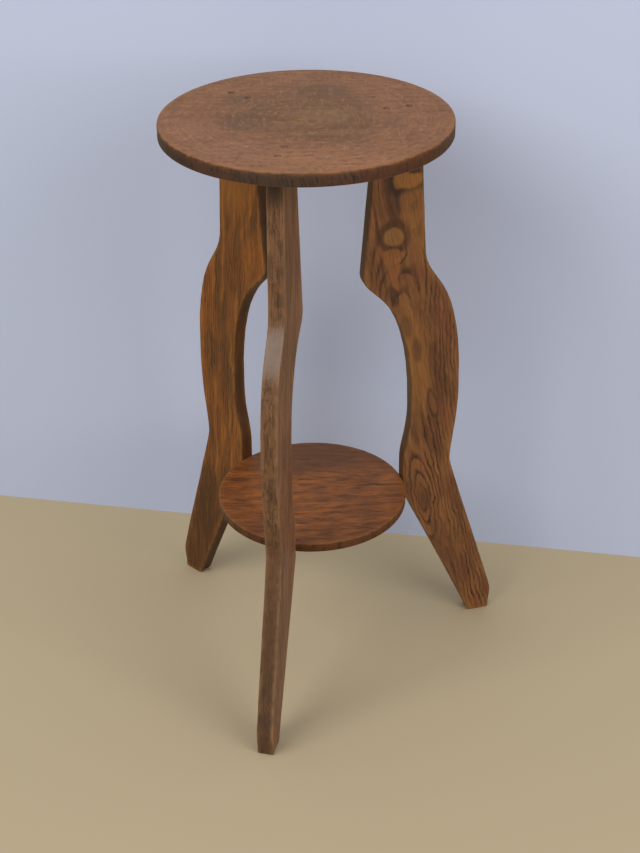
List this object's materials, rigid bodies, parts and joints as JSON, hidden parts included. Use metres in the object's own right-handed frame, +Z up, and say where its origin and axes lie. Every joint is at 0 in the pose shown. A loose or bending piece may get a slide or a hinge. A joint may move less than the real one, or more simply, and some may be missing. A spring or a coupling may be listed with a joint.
{
  "type": "plant stand",
  "caption": "Three-legged wooden plant stand: a round top and a small round shelf between serpentine board legs.",
  "frame": {"origin": "on the floor, at the middle of the stand's bounding box; the stand's own upright axis is 38.25 mm behind it, at +Y", "axes": "+Z up, -Y towards the front leg, +X to the right when the front leg faces the viewer"},
  "size_m": [0.418, 0.3964, 0.696],
  "materials": {
    "top_oak": "stained oak, worn satin, reddish brown with a greyer middle",
    "shelf_oak": "stained oak, satin, orange brown with dark streaks",
    "leg_oak_grey": "stained oak, worn greyish on the outer edge",
    "leg_oak_figured": "stained oak, satin, bold flat-sawn figure with a knot",
    "leg_oak_straight": "stained oak, satin, straight grain",
    "dowel_oak": "raw pale wood",
    "screw_steel": "plain steel",
    "plug_wood": "dark wood filler, matt"
  },
  "bodies": {
    "root": {"top_disc": "top_oak", "shelf_disc": "shelf_oak", "leg_front": "leg_oak_grey", "leg_back_right": "leg_oak_figured", "leg_back_left": "leg_oak_straight", "shelf_dowel_front": "dowel_oak", "shelf_dowel_back_right": "dowel_oak", "shelf_dowel_back_left": "dowel_oak", "screw_front_outer": "screw_steel", "screw_front_inner": "screw_steel", "screw_back_right_outer": "screw_steel", "screw_back_right_inner": "screw_steel", "screw_back_left_outer": "screw_steel", "screw_back_left_inner": "screw_steel", "plug_front_outer": "plug_wood", "plug_front_inner": "plug_wood", "plug_back_right_outer": "plug_wood", "plug_back_right_inner": "plug_wood", "plug_back_left_outer": "plug_wood", "plug_back_left_inner": "plug_wood"}
  },
  "joints": []
}
